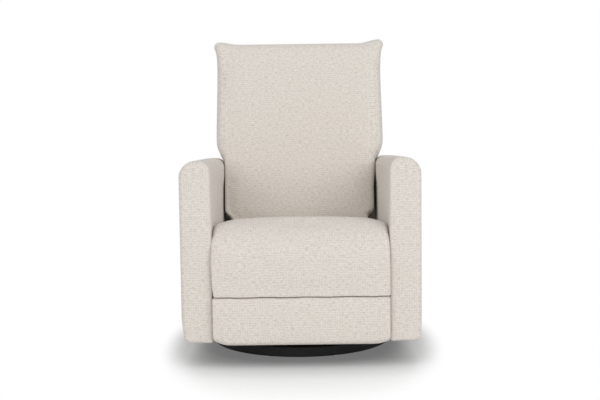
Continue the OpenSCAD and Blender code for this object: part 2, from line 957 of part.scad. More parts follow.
module footrest_arm_pins() {
  color(steel) both_sides() {
    for (p = [rear_joint, front_joint]) {
      rod(p, leg_pin_r, reach_in - 1.8, leg_out + washer_t);
      rod(p, leg_pin_r + 3, reach_in - 1.8, reach_in);
      rod(p, leg_pin_r + 3, reach_out, leg_in - run);
      rod(p, leg_pin_r + 3, leg_out + run, leg_out + washer_t);
    }
    rod(footrest_pivot, leg_pin_r, web_in - 2, reach_out + 1.8);
    rod(footrest_pivot, leg_pin_r + 3, web_in - 2, web_in - run);
    rod(footrest_pivot, leg_pin_r + 3, web_out + run, reach_in);
    rod(footrest_pivot, leg_pin_r + 3, reach_out, reach_out + 1.8);
  }
}

module footrest_bracket() {
  flange_w = 24;
  low = footrest_pivot[1] - 90;
  high = footrest_pivot[1] + 12;
  difference() {
    union() {
      translate([web_out - flange_w, footrest_rear, low]) cube([flange_w, footrest_flange_t, high - low]);
      layer(web_in, web_out)
        polygon([[footrest_rear, low], [footrest_rear, high], [footrest_pivot[0], high],
          [footrest_pivot[0] + 11, footrest_pivot[1]], [footrest_pivot[0], footrest_pivot[1] - 30]]);
    }
    rod(footrest_pivot, leg_pin_r + run, web_in - 1, web_out + 1);
    footrest_screw_holes();
  }
}

// Screw places on the right-hand bracket, with z pointing forwards
module footrest_screw_places() {
  for (z = footrest_screw_zs)
    translate([footrest_screw_x, footrest_rear, z]) rotate([90, 0, 0]) children();
}

module footrest_screw_holes() {
  footrest_screw_places() translate([0, 0, -20]) cylinder(h = 40, r = footrest_screw_r);
}

module footrest_brackets() {
  color(black) both_sides() footrest_bracket();
}

module footrest_board() {
  color(wood) difference() {
    translate([0, footrest_rear, 0]) along(-board_t, 0)
      square_between(board_low, board_high);
    both_sides() footrest_screw_holes();
  }
}

module footrest_pad() {
  edge = 16;
  color(cloth) difference() {
    across(2 * footrest_half)
      round_box([-seat_front, footrest_bottom], [footrest_rear, footrest_top], [edge, 4, 4, edge]);
    translate([0, footrest_rear, 0]) along(-board_t, 1)
      square_between(board_low, board_high);
  }
}

module footrest_screws() {
  grip = footrest_flange_t + board_t - 1;
  color(steel) both_sides() footrest_screw_places() translate([0, 0, -footrest_flange_t]) {
    cylinder(h = grip, r = footrest_screw_r);
    translate([0, 0, -footrest_screw_r]) cylinder(h = footrest_screw_r, r = 2 * footrest_screw_r);
  }
}

base_ring();
cross_bars();
floor_glides();
lower_race();
ring_screws();
race_screws();
ball_cage();
bearing_balls();
upper_race();
centre_bolt();
centre_washer();
centre_nut();
carriage_bars();
left() carriage_bracket();  // carriage_bracket_left
carriage_bracket();  // carriage_bracket_right
carriage_screws();
upper_glide_pins();
front_link_left();
front_link_right();
front_link_bushings();
rear_link_left();
rear_link_right();
rear_link_bushings();
side_plate_left();
side_plate_right();
lower_glide_pins();
front_cross_tube();
rear_cross_tube();
side_rail_left();
side_rail_right();
front_rail();
rear_rail();
deck_rail();
seat_springs();
spring_clips();
arm_frame_left();
arm_frame_right();
arm_left();
arm_right();
seat_cushion();
rear_panel();
frame_bolts();
recline_pins();
legrest_pins();
hinge_bracket_left();
hinge_bracket_right();
back_frame();
back_springs();
back_cushion();
back_cover();
bracket_screws();
legrest_rear_links();
torque_tube();
legrest_front_links();
footrest_arms();
footrest_arm_pins();
footrest_brackets();
footrest_board();
footrest_pad();
footrest_screws();
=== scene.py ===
"""Upholstered glider nursery chair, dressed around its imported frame. Metres, z up, front towards -Y."""
import json
import math

import bmesh
import bpy
import numpy as np
from mathutils import Matrix, Vector


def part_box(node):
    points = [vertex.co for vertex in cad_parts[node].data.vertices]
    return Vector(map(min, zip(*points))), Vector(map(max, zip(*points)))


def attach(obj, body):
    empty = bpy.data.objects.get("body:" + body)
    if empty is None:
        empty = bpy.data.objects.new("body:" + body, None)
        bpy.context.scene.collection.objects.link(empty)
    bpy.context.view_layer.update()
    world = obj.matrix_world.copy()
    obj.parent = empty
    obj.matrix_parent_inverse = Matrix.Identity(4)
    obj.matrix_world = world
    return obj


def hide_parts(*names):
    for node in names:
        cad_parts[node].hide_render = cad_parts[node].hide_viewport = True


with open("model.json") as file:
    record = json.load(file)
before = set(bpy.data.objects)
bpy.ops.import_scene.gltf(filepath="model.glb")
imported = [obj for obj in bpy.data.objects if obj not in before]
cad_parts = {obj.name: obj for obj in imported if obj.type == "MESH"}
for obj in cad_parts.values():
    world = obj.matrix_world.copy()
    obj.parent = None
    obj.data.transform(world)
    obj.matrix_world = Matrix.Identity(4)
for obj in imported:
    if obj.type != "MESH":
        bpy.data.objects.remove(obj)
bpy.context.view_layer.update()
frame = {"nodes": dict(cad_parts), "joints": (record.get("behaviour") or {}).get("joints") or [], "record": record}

# ---- Outlines ------------------------------------------------------------------------------------

ARC_STEP = math.radians(5)      # between the points of a round corner
TURN_WEIGHT = 0.03              # how much closer points lie where an outline turns


def rounded(corners, radii):
    """Outline through the corners, each rounded to its radius, as one point array for each corner."""
    corners = np.array(corners, float)
    parts = []
    for i, at in enumerate(corners):
        to_last = corners[i - 1] - at
        to_next = corners[(i + 1) % len(corners)] - at
        a = to_last / np.linalg.norm(to_last)
        b = to_next / np.linalg.norm(to_next)
        half = math.acos(np.clip(a @ b, -1, 1)) / 2
        if radii[i] <= 0 or math.pi / 2 - half < 0.01:
            parts.append(at[None])
            continue
        centre = at + (a + b) / np.linalg.norm(a + b) * radii[i] / math.sin(half)
        start = at + a * radii[i] / math.tan(half) - centre
        end = at + b * radii[i] / math.tan(half) - centre
        sweep = math.pi - 2 * half
        t = np.linspace(0, 1, 2 * max(2, round(sweep / ARC_STEP / 2)) + 1)[:, None]
        parts.append(centre + (start * np.sin((1 - t) * sweep) + end * np.sin(t * sweep)) / math.sin(sweep))
    return parts


def four_sides(parts, splits):
    """The outline as four polylines that meet in the middles of the chosen corners."""
    flat = np.concatenate(parts)
    ends = np.cumsum([len(p) for p in parts])
    middles = [ends[s] - len(parts[s]) + len(parts[s]) // 2 for s in splits]
    sides = []
    for a, b in zip(middles, middles[1:] + [middles[0] + len(flat)]):
        sides.append(flat[np.arange(a, b + 1) % len(flat)])
    return sides


def respace(points, count):
    """count + 1 points along a polyline, closer together where it turns."""
    step = np.diff(points, axis=0)
    length = np.linalg.norm(step, axis=1)
    heading = np.unwrap(np.arctan2(step[:, 1], step[:, 0]))
    turn = np.abs(np.diff(heading, prepend=heading[0])) / 2
    weight = length + TURN_WEIGHT * (turn + np.append(turn[1:], 0))
    along = np.append(0, np.cumsum(weight))
    at = np.linspace(0, along[-1], count + 1)
    return np.stack([np.interp(at, along, points[:, i]) for i in (0, 1)], 1)


def closed_loop(sides, counts):
    """One closed loop of points from four sides, each without its last point."""
    return np.concatenate([respace(s, n)[:-1] for s, n in zip(sides, counts)])


def box_loop(low, high, radii, counts):
    """The closed loop of a rectangle whose corners are rounded, counter-clockwise from the corner at low."""
    corners = [(low[0], low[1]), (high[0], low[1]), (high[0], high[1]), (low[0], high[1])]
    return closed_loop(four_sides(rounded(corners, radii), [0, 1, 2, 3]), counts)


def ease(x, start, end):
    """0 before start, 1 after end, smooth between."""
    t = np.clip((np.asarray(x, float) - start) / (end - start), 0, 1)
    return t * t * (3 - 2 * t)


def soft_limit(values, low, reach):
    """The values kept above low, easing in over the last reach."""
    over = low + reach - values
    return np.where(over > 0, low + reach * np.exp(-np.clip(over, 0, None) / reach), values)


# ---- Soft blocks ---------------------------------------------------------------------------------

FILLET_STEPS = 6
MESH_STEP = 0.011               # spacing of the points across a block


def inward(loop):
    """Unit normals into a counter-clockwise loop."""
    ahead = np.roll(loop, -1, 0) - np.roll(loop, 1, 0)
    ahead /= np.linalg.norm(ahead, axis=1)[:, None]
    return np.stack([-ahead[:, 1], ahead[:, 0]], 1)


def cap_grid(ring, counts):
    """Points inside a ring, blended from its four sides, as a grid with the ring's own points on its rim."""
    m, k = counts[0], counts[1]
    n = len(ring)
    index = np.arange(n)
    low, right = index[:m + 1], index[m:m + k + 1]
    top, left = index[m + k:2 * m + k + 1][::-1], np.append(index[2 * m + k:], 0)[::-1]
    u = np.linspace(0, 1, m + 1)[:, None, None]
    v = np.linspace(0, 1, k + 1)[None, :, None]
    blend = (
        (1 - v) * ring[low][:, None] + v * ring[top][:, None]
        + (1 - u) * ring[left][None] + u * ring[right][None]
        - (1 - u) * (1 - v) * ring[low[0]] - u * (1 - v) * ring[low[-1]]
        - (1 - u) * v * ring[top[0]] - u * v * ring[top[-1]]
    )
    rim = {}
    for i in range(m + 1):
        rim[i, 0], rim[i, k] = low[i], top[i]
    for j in range(k + 1):
        rim[0, j], rim[m, j] = left[j], right[j]
    return blend, rim


def soft_block(loop, counts, low, high, radius, spacing, crown=0.0, far_radius=None):
    """A closed upholstered block: a loop in (p, q) drawn out along a from low to high, its ends rounded
    to radius, or to far_radius at the high end. low, high and each radius hold one value for each loop point.
    Returns (points as (p, q, a), faces, corner places on the cloth)."""
    n = len(loop)
    far = radius if far_radius is None else far_radius
    normal = inward(loop)
    steps = np.linspace(math.pi / 2, 0, FILLET_STEPS + 1)
    middle = max(2, round(float(np.mean(high - low - radius - far)) / spacing))
    rings = [(low + radius * (1 - math.sin(s)), radius * (1 - math.cos(s))) for s in steps]
    for t in np.linspace(0, 1, middle + 1)[1:-1]:
        rings.append(((low + radius) * (1 - t) + (high - far) * t, 0 * radius))
    rings += [(high - far * (1 - math.sin(s)), far * (1 - math.cos(s))) for s in steps[::-1]]
    points = [np.column_stack([loop + normal * inset[:, None], a]) for a, inset in rings]

    around = np.append(0, np.cumsum(np.linalg.norm(np.diff(np.vstack([loop, loop[:1]]), axis=0), axis=1)))
    across = [0.0]
    for first, second in zip(points, points[1:]):
        across.append(across[-1] + float(np.mean(np.linalg.norm(second - first, axis=1))))
    faces, uvs = [], []
    for r in range(len(points) - 1):
        for i in range(n):
            j = (i + 1) % n
            faces.append((r * n + i, r * n + j, (r + 1) * n + j, (r + 1) * n + i))
            uvs += [(across[r], around[i]), (across[r], around[i + 1]),
                    (across[r + 1], around[i + 1]), (across[r + 1], around[i])]
    flat = np.concatenate(points)
    for end, ring_at in ((-1, 0), (1, len(points) - 1)):
        grid, rim = cap_grid(points[ring_at], counts)
        m, k = counts[0], counts[1]
        bulge = (1 - np.linspace(-1, 1, m + 1)[:, None] ** 2) * (1 - np.linspace(-1, 1, k + 1)[None] ** 2)
        grid[..., 2] += end * crown * bulge
        number = np.zeros((m + 1, k + 1), int)
        extra = []
        for i in range(m + 1):
            for j in range(k + 1):
                if (i, j) in rim:
                    number[i, j] = ring_at * n + rim[i, j]
                else:
                    number[i, j] = len(flat) + len(extra)
                    extra.append(grid[i, j])
        flat = np.vstack([flat, extra])
        for i in range(m):
            for j in range(k):
                quad = [(i, j), (i + 1, j), (i + 1, j + 1), (i, j + 1)][::-end]
                faces.append(tuple(number[q] for q in quad))
                uvs += [tuple(grid[q][:2]) for q in quad]
    return flat, faces, uvs


def make_mesh(name, points, faces, uvs):
    """A smooth mesh object that carries each corner's place on the cloth, in metres, as an attribute."""
    mesh = bpy.data.meshes.new(name)
    mesh.from_pydata([tuple(p) for p in points], [], faces)
    layer = mesh.attributes.new("on_cloth", "FLOAT_VECTOR", "CORNER")
    places = np.column_stack([np.array(uvs), np.zeros(len(uvs))])
    layer.data.foreach_set("vector", places.astype(np.float32).ravel())
    piece = bpy.data.objects.new(name, mesh)
    bpy.context.scene.collection.objects.link(piece)
    face_outwards(mesh)
    mesh.shade_smooth()
    return piece


def face_outwards(mesh):
    """Turns every face of a closed mesh outwards."""
    work = bmesh.new()
    work.from_mesh(mesh)
    bmesh.ops.recalc_face_normals(work, faces=work.faces)
    work.normal_update()
    if work.calc_volume(signed=True) < 0:
        bmesh.ops.reverse_faces(work, faces=work.faces)
    work.to_mesh(mesh)
    work.free()


def coordinates(mesh):
    found = np.zeros(len(mesh.vertices) * 3, np.float32)
    mesh.vertices.foreach_get("co", found)
    return found.reshape(-1, 3).astype(float)


def set_coordinates(mesh, points):
    mesh.vertices.foreach_set("co", np.asarray(points, np.float32).ravel())
    mesh.update()


SPARE_CLOTH = 0.006             # how much larger than its mesh a cover is cut, to gather where it is held
CLOTH_FRAMES = 20


def puff(piece, held, pressure, limit):
    """Blows the cover up as cloth. held is 0 to 1 for each point, and no point moves by more than limit."""
    start = coordinates(piece.data)
    group = piece.vertex_groups.new(name="held")
    for i, weight in enumerate(held):
        if weight > 0:
            group.add([i], float(weight), "REPLACE")
    cloth = piece.modifiers.new("cover", "CLOTH")
    settings = cloth.settings
    settings.quality = 6
    settings.mass = 0.35
    settings.tension_stiffness = settings.compression_stiffness = 18
    settings.shear_stiffness = 8
    settings.bending_stiffness = 1.2
    settings.air_damping = 2
    settings.shrink_min = -SPARE_CLOTH
    settings.use_pressure = True
    settings.uniform_pressure_force = pressure
    settings.vertex_group_mass = "held"
    settings.effector_weights.gravity = 0
    cloth.collision_settings.use_collision = False
    cloth.point_cache.frame_start = 1
    cloth.point_cache.frame_end = CLOTH_FRAMES
    scene = bpy.context.scene
    for frame_number in range(1, CLOTH_FRAMES + 1):
        scene.frame_set(frame_number)
    evaluated = piece.evaluated_get(bpy.context.evaluated_depsgraph_get())
    end = coordinates(evaluated.data)
    piece.modifiers.remove(cloth)
    piece.vertex_groups.remove(group)
    scene.frame_set(1)
    moved = end - start
    length = np.linalg.norm(moved, axis=1)[:, None]
    set_coordinates(piece.data, start + moved * np.minimum(1, limit / np.maximum(length, 1e-9)))


def subdivided(piece):
    """One level of subdivision, applied."""
    modifier = piece.modifiers.new("finer", "SUBSURF")
    modifier.levels = modifier.render_levels = 1
    modifier.boundary_smooth = "PRESERVE_CORNERS"
    evaluated = piece.evaluated_get(bpy.context.evaluated_depsgraph_get())
    mesh = bpy.data.meshes.new_from_object(evaluated)
    piece.modifiers.remove(modifier)
    piece.data = mesh
    mesh.shade_smooth()
    return piece


def dressed(piece, body, nodes, material):
    """Gives an upholstered piece its material and its body, and hides the CAD nodes that it stands for."""
    piece.data.materials.clear()
    piece.data.materials.append(material)
    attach(piece, body)
    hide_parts(*nodes)
    return piece


# ---- Materials -----------------------------------------------------------------------------------

class Nodes:
    """Short way to build a node material."""

    def __init__(self, name):
        self.material = bpy.data.materials.new(name)
        self.material.use_nodes = True
        self.tree = self.material.node_tree
        self.tree.nodes.clear()
        self.output = self.add("ShaderNodeOutputMaterial")

    def add(self, kind, **settings):
        node = self.tree.nodes.new(kind)
        for key, value in settings.items():
            setattr(node, key, value)
        return node

    def link(self, source, target):
        self.tree.links.new(source, target)

    def feed(self, socket, value):
        if isinstance(value, bpy.types.NodeSocket):
            self.link(value, socket)
        else:
            socket.default_value = value

    def math(self, operation, a, b=None, c=None):
        node = self.add("ShaderNodeMath", operation=operation)
        for socket, value in zip(node.inputs, (a, b, c)):
            if value is not None:
                self.feed(socket, value)
        return node.outputs[0]

    def noise(self, vector, scale, detail=2.0, roughness=0.5):
        node = self.add("ShaderNodeTexNoise")
        self.link(vector, node.inputs["Vector"])
        node.inputs["Scale"].default_value = scale
        node.inputs["Detail"].default_value = detail
        node.inputs["Roughness"].default_value = roughness
        return node.outputs["Fac"]

    def stretched(self, vector, scale):
        node = self.add("ShaderNodeVectorMath", operation="MULTIPLY")
        self.link(vector, node.inputs[0])
        node.inputs[1].default_value = scale
        return node.outputs[0]

    def ramp(self, factor, stops):
        node = self.add("ShaderNodeValToRGB")
        self.link(factor, node.inputs["Fac"])
        ramp = node.color_ramp
        while len(ramp.elements) < len(stops):
            ramp.elements.new(0.5)
        for element, (at, colour) in zip(ramp.elements, stops):
            element.position = at
            element.color = (*colour, 1)
        return node.outputs["Color"]

    def mix(self, factor, a, b, blend="MIX"):
        node = self.add("ShaderNodeMix", data_type="RGBA", blend_type=blend)
        self.feed(node.inputs[0], factor)
        self.feed(node.inputs[6], a)
        self.feed(node.inputs[7], b)
        return node.outputs[2]

    def bump(self, height, strength, distance, normal=None):
        node = self.add("ShaderNodeBump")
        node.inputs["Strength"].default_value = strength
        node.inputs["Distance"].default_value = distance
        self.link(height, node.inputs["Height"])
        if normal is not None:
            self.link(normal, node.inputs["Normal"])
        return node.outputs["Normal"]

    def surface(self, **inputs):
        shader = self.add("ShaderNodeBsdfPrincipled")
        for name, value in inputs.items():
            self.feed(shader.inputs[name.replace("_", " ")], value)
        self.link(shader.outputs[0], self.output.inputs["Surface"])
        return shader


def linear(*srgb):
    """An sRGB colour from 0 to 255 as the linear values that nodes hold."""
    c = np.array(srgb) / 255
    return tuple(float(x) for x in np.where(c <= 0.04045, c / 12.92, ((c + 0.055) / 1.055) ** 2.4))


YARN = 0.0032           # pitch of the weave
SLUB = 0.013            # length of the thick and thin places in a yarn
# The ribs are painted light and shade: they change only the colour, not the bump.
RIB = 0.0078            # pitch of the faint ribs that the heavier yarns make


def weave_fabric():
    """Cream slub weave: warp and weft of several beige and grey tones over and under each other, with painted
    shade between the yarns and painted light and shade along faint ribs.
    """
    n = Nodes("cream_slub_weave")
    cloth = n.add("ShaderNodeAttribute", attribute_name="on_cloth").outputs["Vector"]
    spread = n.add("ShaderNodeSeparateXYZ")
    wander = n.add("ShaderNodeTexNoise")
    wander.inputs["Scale"].default_value = 60
    n.link(cloth, wander.inputs["Vector"])
    drift = n.add("ShaderNodeVectorMath", operation="MULTIPLY_ADD")
    n.link(wander.outputs["Color"], drift.inputs[0])
    drift.inputs[1].default_value = (YARN * 0.5,) * 3
    n.link(cloth, drift.inputs[2])
    n.link(drift.outputs[0], spread.inputs[0])
    u, v = spread.outputs[0], spread.outputs[1]
    turn = 2 * math.pi / YARN / 2
    wave_u = n.math("SINE", n.math("MULTIPLY", u, turn))
    wave_v = n.math("SINE", n.math("MULTIPLY", v, turn))
    over = n.math("MULTIPLY_ADD", n.math("MULTIPLY", wave_u, wave_v), 0.4, 0.4)
    weft = n.noise(n.stretched(cloth, (1 / SLUB, 1 / YARN, 1)), 1.0, 1.5, 0.5)
    warp = n.noise(n.stretched(cloth, (1 / YARN, 1 / SLUB, 1)), 1.0, 1.5, 0.5)
    tones = (
        (0.26, linear(184, 176, 166)), (0.41, linear(213, 206, 197)), (0.52, linear(225, 219, 211)),
        (0.64, linear(236, 231, 224)), (0.78, linear(208, 204, 200)),
    )
    yarns = n.mix(over, n.ramp(weft, tones), n.ramp(warp, tones))
    patches = n.noise(cloth, 13.0, 2.0)
    tinted = n.mix(n.math("MULTIPLY", patches, 0.3), yarns, (*linear(226, 216, 206), 1))
    # Painted shade: the colour darkens towards the gaps between the yarns and lightens slightly on their crowns,
    # and the ribs add faint painted bands of light and shade.
    gaps = n.math("MULTIPLY", n.math("ABSOLUTE", wave_u), n.math("ABSOLUTE", wave_v))
    ribs = n.math("ADD", n.math("SINE", n.math("MULTIPLY", v, 2 * math.pi / RIB)),
                  n.math("MULTIPLY", n.math("SINE", n.math("MULTIPLY", u, 2 * math.pi / RIB)), 0.6))
    shade = n.math("MULTIPLY_ADD", n.math("POWER", gaps, 0.4), 0.16, 0.86)
    shade = n.math("MULTIPLY_ADD", ribs, 0.035, shade)
    grey = n.add("ShaderNodeCombineColor")
    for socket in grey.inputs[:3]:
        n.link(shade, socket)
    colour = n.mix(1.0, tinted, grey.outputs[0], "MULTIPLY")
    fuzz = n.noise(cloth, 1100.0, 2.0, 0.7)
    height = n.math("ADD", n.math("ADD", n.math("MULTIPLY", gaps, 0.8), n.math("MULTIPLY", weft, 0.9)),
                    n.math("ADD", n.math("MULTIPLY", warp, 0.9), n.math("MULTIPLY", fuzz, 0.5)))
    bump = n.bump(height, 0.55, 0.0012)
    rough = n.math("MULTIPLY_ADD", fuzz, 0.15, 0.82)
    n.surface(Base_Color=colour, Roughness=rough, Normal=bump, Sheen_Weight=0.25, Sheen_Roughness=0.5,
              Specular_IOR_Level=0.25)
    return n.material


def position(n):
    return n.add("ShaderNodeTexCoord").outputs["Object"]


def black_metal():
    """Satin black powder coat with a fine orange-peel and faint wear."""
    n = Nodes("black_powder_coat")
    at = position(n)
    peel = n.noise(at, 900.0, 2.0)
    wear = n.noise(at, 14.0, 5.0, 0.65)
    colour = n.ramp(wear, ((0.3, linear(13, 13, 14)), (0.7, linear(22, 21, 21))))
    rough = n.math("MULTIPLY_ADD", wear, 0.2, 0.42)
    n.surface(Base_Color=colour, Roughness=rough, Normal=n.bump(peel, 0.25, 0.0003), Specular_IOR_Level=0.3)
    return n.material


def zinc_steel():
    """Bright zinc-plated steel with cloudy passivation."""
    n = Nodes("zinc_plate")
    at = position(n)
    cloud = n.noise(at, 60.0, 4.0, 0.6)
    tones = ((0.25, linear(158, 160, 162)), (0.6, linear(196, 197, 195)), (0.8, linear(206, 200, 184)))
    colour = n.ramp(cloud, tones)
    rough = n.math("MULTIPLY_ADD", cloud, 0.25, 0.25)
    bump = n.bump(n.noise(at, 700.0), 0.15, 0.0002)
    n.surface(Base_Color=colour, Metallic=1.0, Roughness=rough, Normal=bump)
    return n.material


def spring_steel():
    """Drawn spring wire, grey with drawing marks along x."""
    n = Nodes("drawn_spring_wire")
    at = position(n)
    marks = n.noise(n.stretched(at, (30.0, 900.0, 900.0)), 1.0, 3.0)
    colour = n.ramp(marks, ((0.3, linear(96, 97, 100)), (0.7, linear(150, 150, 150))))
    rough = n.math("MULTIPLY_ADD", marks, 0.3, 0.3)
    n.surface(Base_Color=colour, Metallic=1.0, Roughness=rough, Normal=n.bump(marks, 0.2, 0.0002))
    return n.material


def frame_wood():
    """Pale planed hardwood with its grain along each board's y."""
    n = Nodes("planed_hardwood")
    at = position(n)
    rings = n.noise(n.stretched(at, (45.0, 3.0, 45.0)), 1.0, 6.0, 0.62)
    pores = n.noise(n.stretched(at, (900.0, 40.0, 900.0)), 1.0, 2.0)
    tones = ((0.3, linear(176, 140, 96)), (0.5, linear(206, 172, 126)), (0.7, linear(222, 192, 148)))
    colour = n.mix(n.math("MULTIPLY", pores, 0.25), n.ramp(rings, tones), (*linear(150, 112, 74), 1))
    rough = n.math("MULTIPLY_ADD", pores, 0.2, 0.5)
    n.surface(Base_Color=colour, Roughness=rough, Normal=n.bump(pores, 0.2, 0.0004))
    return n.material


def moulded_nylon():
    """Off-white moulded nylon with a fine matt grain."""
    n = Nodes("moulded_nylon")
    at = position(n)
    cloud = n.noise(at, 35.0, 2.0)
    colour = n.ramp(cloud, ((0.3, linear(214, 212, 202)), (0.7, linear(228, 227, 219))))
    n.surface(Base_Color=colour, Roughness=n.math("MULTIPLY_ADD", cloud, 0.15, 0.4),
              Normal=n.bump(n.noise(at, 1500.0), 0.2, 0.0002), Subsurface_Weight=0.05)
    return n.material


FINISHES = {
    "black_metal": black_metal,
    "zinc_steel": zinc_steel,
    "spring_steel": spring_steel,
    "frame_wood": frame_wood,
    "nylon": moulded_nylon,
}


def finish_hardware():
    """Gives every CAD node that stays the finish that its record slot names."""
    made = {}
    for entry in frame["record"]["subparts"]:
        slot = entry["material_slot"]
        if slot not in FINISHES:
            continue
        if slot not in made:
            made[slot] = FINISHES[slot]()
        node = frame["nodes"][entry["node"]]
        node.data.materials.clear()
        node.data.materials.append(made[slot])


# ---- Stage ---------------------------------------------------------------------------------------

FLOOR_HALF = 40.0
# CONTACT_REACH to SHADOW_DARKEST shape a painted shadow: ambient occlusion darkens the floor's colour and glow
# around the chair.
CONTACT_REACH = 0.16                # of the shadow right under the chair
SHADOW_REACH = 0.50                 # of the wider shadow, which looks up and to the rear
SHADOW_LOOK = (0.0, 0.9, 0.436)
SHADOW_BLOCKED = 0.20               # part of that tilted dome that lies below the floor
SHADOW_DARKEST = 0.22
FLOOR_GAIN = 1.45
FADE_STRETCH = (1.9, 1.0, 1.0)      # the floor turns plain white in an ellipse around the chair
FADE_FROM, FADE_TO = 0.76, 0.95


def stage_floor():
    """Plain white floor that keeps the chair's shadow, partly as real shade on its lit part and partly as a shadow
    painted from ambient occlusion into the colour and glow that the camera sees, and meets the white background.
    """
    mesh = bpy.data.meshes.new("stage_floor")
    corners = [(FLOOR_HALF * x, FLOOR_HALF * y, 0) for x, y in ((-1, -1), (1, -1), (1, 1), (-1, 1))]
    mesh.from_pydata(corners, [], [(0, 1, 2, 3)])
    floor = bpy.data.objects.new("stage_floor", mesh)
    bpy.context.scene.collection.objects.link(floor)
    n = Nodes("white_floor")
    seen = n.add("ShaderNodeLightPath").outputs["Is Camera Ray"]
    # Painted shadow: two ambient occlusion domes darken the grey that the camera sees on the floor.
    near = n.add("ShaderNodeAmbientOcclusion", samples=16)
    near.inputs["Distance"].default_value = CONTACT_REACH
    ahead = n.add("ShaderNodeAmbientOcclusion", samples=16)
    ahead.inputs["Distance"].default_value = SHADOW_REACH
    ahead.inputs["Normal"].default_value = SHADOW_LOOK
    open_sky = n.add("ShaderNodeMapRange")
    n.link(ahead.outputs["AO"], open_sky.inputs["Value"])
    open_sky.inputs["From Min"].default_value = SHADOW_BLOCKED
    shade = n.math("MULTIPLY", n.math("POWER", near.outputs["AO"], 0.7), open_sky.outputs[0])
    shade = n.math("MULTIPLY_ADD", n.math("POWER", shade, 0.8), 1 - SHADOW_DARKEST, SHADOW_DARKEST)
    grey = n.add("ShaderNodeCombineColor")
    for socket in grey.inputs[:3]:
        n.link(shade, socket)
    # The camera sees the lit part in this colour, which carries the painted shadow as well.
    seen_colour = n.mix(1.0, grey.outputs[0], (FLOOR_GAIN, FLOOR_GAIN, FLOOR_GAIN, 1), "MULTIPLY")
    paint = n.add("ShaderNodeBsdfDiffuse")
    n.link(n.mix(seen, (0.85, 0.85, 0.85, 1), seen_colour), paint.inputs["Color"])
    glow_with_painted_shadow = n.add("ShaderNodeEmission")
    spot = n.add("ShaderNodeVectorMath", operation="LENGTH")
    n.link(n.stretched(position(n), FADE_STRETCH), spot.inputs[0])
    away = n.add("ShaderNodeMapRange", interpolation_type="SMOOTHSTEP")
    n.link(spot.outputs["Value"], away.inputs["Value"])
    away.inputs["From Min"].default_value = FADE_FROM
    away.inputs["From Max"].default_value = FADE_TO
    # The glow is the painted shadow's grey near the chair and plain white away from it.
    glow = n.mix(away.outputs[0], grey.outputs[0], (1, 1, 1, 1))
    n.link(glow, glow_with_painted_shadow.inputs["Color"])
    blend = n.add("ShaderNodeMixShader")
    share = n.math("MULTIPLY_ADD", away.outputs[0], 0.3, 0.7)
    n.link(n.math("MULTIPLY", seen, share), blend.inputs[0])
    n.link(paint.outputs[0], blend.inputs[1])
    n.link(glow_with_painted_shadow.outputs[0], blend.inputs[2])
    n.link(blend.outputs[0], n.output.inputs["Surface"])
    mesh.materials.append(n.material)


def world_light(strength):
    """Even white light, which the camera and shiny surfaces see as plain white."""
    world = bpy.data.worlds.new("studio")
    bpy.context.scene.world = world
    world.use_nodes = True
    tree = world.node_tree
    tree.nodes.clear()
    output = tree.nodes.new("ShaderNodeOutputWorld")
    light = tree.nodes.new("ShaderNodeBackground")
    light.inputs["Strength"].default_value = strength
    light.inputs["Color"].default_value = (1, 1, 1, 1)
    seen = tree.nodes.new("ShaderNodeBackground")
    seen.inputs["Color"].default_value = (1, 1, 1, 1)
    seen.inputs["Strength"].default_value = 1.0
    path = tree.nodes.new("ShaderNodeLightPath")
    either = tree.nodes.new("ShaderNodeMath")
    either.operation = "MAXIMUM"
    tree.links.new(path.outputs["Is Camera Ray"], either.inputs[0])
    tree.links.new(path.outputs["Is Glossy Ray"], either.inputs[1])
    mix = tree.nodes.new("ShaderNodeMixShader")
    tree.links.new(either.outputs[0], mix.inputs[0])
    tree.links.new(light.outputs[0], mix.inputs[1])
    tree.links.new(seen.outputs[0], mix.inputs[2])
    tree.links.new(mix.outputs[0], output.inputs[0])


LAMP_SIDE = 6.0


def soft_lamp(name, place, target, watts):
    """A large square lamp at a place, turned to its target."""
    data = bpy.data.lights.new(name, "AREA")
    data.shape = "RECTANGLE"
    data.size = data.size_y = LAMP_SIDE
    data.energy = watts
    lamp = bpy.data.objects.new(name, data)
    lamp.location = place
    lamp.rotation_euler = (Vector(target) - Vector(place)).to_track_quat("-Z", "Y").to_euler()
    bpy.context.scene.collection.objects.link(lamp)


LENS = 57.88                        # mm on a 36 mm sensor
CAMERA_PLACE = (0.0082, -3.42, 0.769)
CAMERA_YAW = math.radians(0.159)
CAMERA_PITCH = math.radians(-4.57)
CAMERA_ROLL = math.radians(-0.725)


def add_camera():
    """The only camera, and the plain view transform."""
    data = bpy.data.cameras.new("camera")
    data.lens = LENS
    data.sensor_width = 36.0
    camera = bpy.data.objects.new("camera", data)
    turn = (
        Matrix.Rotation(CAMERA_YAW, 4, "Z") @ Matrix.Rotation(math.pi / 2 + CAMERA_PITCH, 4, "X")
        @ Matrix.Rotation(CAMERA_ROLL, 4, "Z")
    )
    camera.matrix_world = Matrix.Translation(CAMERA_PLACE) @ turn
    bpy.context.scene.collection.objects.link(camera)
    bpy.context.scene.camera = camera
    bpy.context.scene.view_settings.view_transform = "Standard"


# ---- Arms ----------------------------------------------------------------------------------------

ARM_LOW, ARM_HIGH = (np.array(c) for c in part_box("arm_right"))
ARM_DROP = 0.022                # fall of the arm tops from front to rear
ARM_LOW_ROUND = (0.008, 0.016)  # rounding of the lower edges, inner and outer
ARM_TOP_ROUND = (0.0378, 0.042)
ARM_EDGE = 0.006                # roundness of the front's inner edge, its other edges and the rear's
ARM_END = 0.017
ARM_REAR_END = 0.012
ARM_REAR_TURN = 0.060           # radius in which the top turns down at the rear
ARM_SWELL = 0.010               # how far the padded fronts stand proud
ARM_HOLLOW = 0.004              # how far the inner faces give way beside the back
ARM_DOME = 0.013                # fall of the front's outer top corner
ARM_TUCK = 0.006                # how far the padding reaches under its frame, behind the front
# how the padding has settled at +x and -x: its top, its front, the slope and the lean of its outer face
ARM_SETTLED = {1: (0.0, 0.003, 0.003, 0.001), -1: (0.003, 0.005, 0.008, 0.002)}


